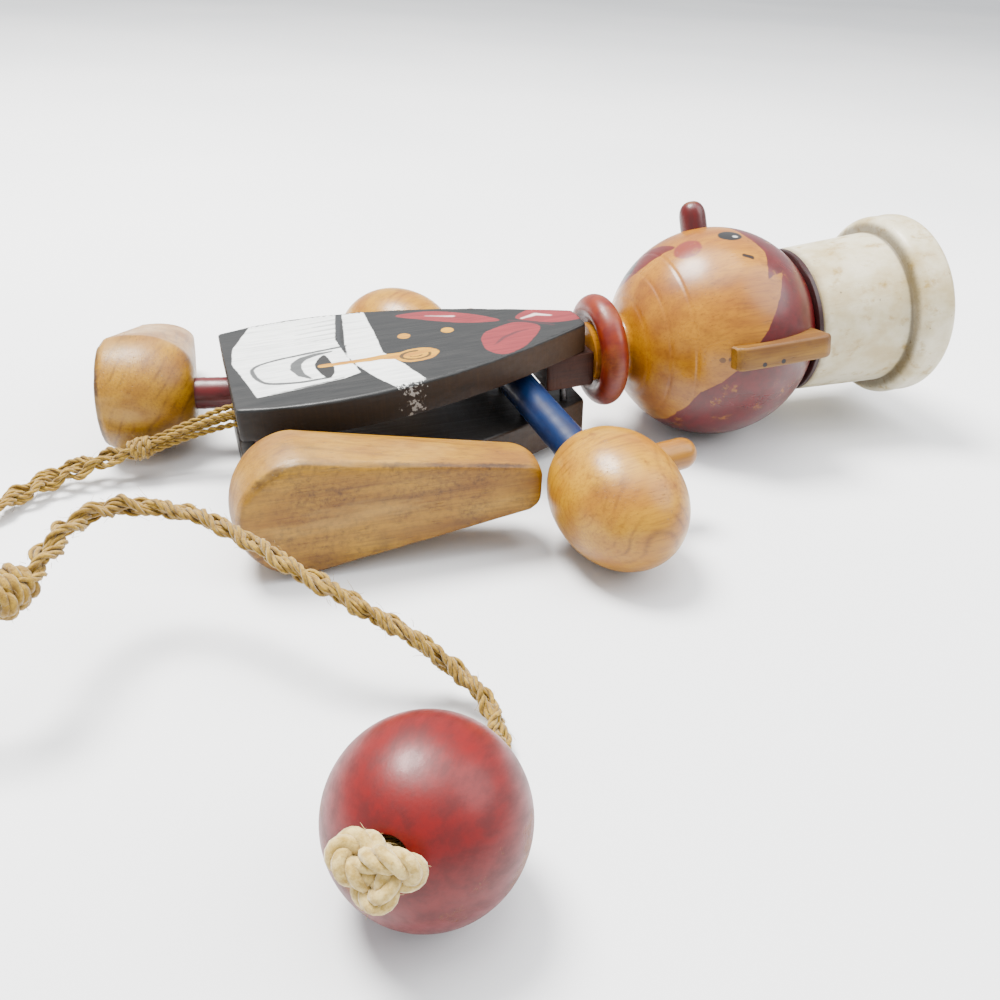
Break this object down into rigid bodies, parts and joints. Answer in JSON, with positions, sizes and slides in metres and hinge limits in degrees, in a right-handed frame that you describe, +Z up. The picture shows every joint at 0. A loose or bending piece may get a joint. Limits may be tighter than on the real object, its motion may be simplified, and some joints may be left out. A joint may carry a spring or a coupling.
{
  "type": "jumping jack",
  "caption": "Pull-string jumping jack of a cook in turned and sawn wood: limbs swing on nails between two body boards, with a round head, tall hat, cord and pull ball.",
  "frame": {"origin": "on the surface it lies on, under the middle of the figure's box, cord, knots and pull ball left out", "axes": "+X from the feet to the hat, +Y to the figure's right side, +Z up, out of its chest"},
  "size_m": [0.221, 0.1851, 0.0498],
  "materials": {
    "board_paint": "charcoal paint with white apron, worn, dark stained edges",
    "board_stain": "dark stained, satin",
    "block_wood": "bare, slightly dirty",
    "nail_steel": "dull, slightly tarnished",
    "ring_paint": "orange-red paint worn to the wood",
    "head_wood": "honey varnish, glossy, painted hair, eyes, cheeks and mouth",
    "nose_paint": "dark red gloss paint",
    "ear_wood": "brown stained, satin",
    "band_paint": "dark maroon paint",
    "hat_paint": "aged cream gloss paint with dirt in the step",
    "arm_paint": "deep blue paint, worn at the edges",
    "hand_wood": "honey varnish, glossy",
    "leg_paint": "dark red paint",
    "shoe_wood": "honey varnish, open end grain on the sole",
    "jute": "hairy two-ply jute",
    "ball_paint": "red gloss paint, worn",
    "cotton": "cream cotton knot"
  },
  "bodies": {
    "torso": {"front_panel": "board_paint", "back_panel": "board_stain", "neck_block": "block_wood", "nails": "nail_steel", "collar_ring": "ring_paint", "head": "head_wood", "nose_peg": "nose_paint", "left_ear": "ear_wood", "right_ear": "ear_wood", "hat_band": "band_paint", "hat": "hat_paint"},
    "left_arm_body": {"left_arm": "arm_paint", "left_hand": "hand_wood", "left_thumb": "hand_wood"},
    "right_arm_body": {"right_arm": "arm_paint", "right_hand": "hand_wood", "right_thumb": "hand_wood"},
    "left_leg_body": {"left_leg": "leg_paint", "left_shoe": "shoe_wood"},
    "right_leg_body": {"right_leg": "leg_paint", "right_shoe": "shoe_wood"},
    "pull": {"left_arm_string": "jute", "right_arm_string": "jute", "left_leg_string": "jute", "right_leg_string": "jute", "gather_knot": "jute", "pull_cord": "jute", "loop_knot": "jute", "pull_ball": "ball_paint", "ball_knot": "cotton"}
  },
  "joints": [
    {"name": "left_hip", "type": "hinge", "parent": "torso", "child": "left_leg_body", "pos_m": [-0.05951, -0.0094, 0.01281], "axis": [-0.0785, 0, 0.9969], "range_deg": [-86, 0]},
    {"name": "left_shoulder", "type": "hinge", "parent": "torso", "child": "left_arm_body", "pos_m": [-0.00692, -0.0059, 0.01625], "axis": [-0.0785, 0, 0.9969], "range_deg": [-39, 0]},
    {"name": "pull_slide", "type": "slide", "parent": "torso", "child": "pull", "axis": [-1, 0, 0], "range_m": [0, 0.005]},
    {"name": "right_hip", "type": "hinge", "parent": "torso", "child": "right_leg_body", "pos_m": [-0.05951, 0.0126, 0.01281], "axis": [-0.0785, 0, 0.9969], "range_deg": [-80, 0]},
    {"name": "right_shoulder", "type": "hinge", "parent": "torso", "child": "right_arm_body", "pos_m": [-0.00692, 0.0091, 0.01625], "axis": [-0.0785, 0, 0.9969], "range_deg": [-43, 0]}
  ],
  "couplings": [
    {"joint": "left_shoulder", "follows": "left_hip", "ratio": 0.45},
    {"joint": "right_hip", "follows": "pull_slide", "rad_per_m": -279},
    {"joint": "right_shoulder", "follows": "pull_slide", "rad_per_m": -150}
  ]
}
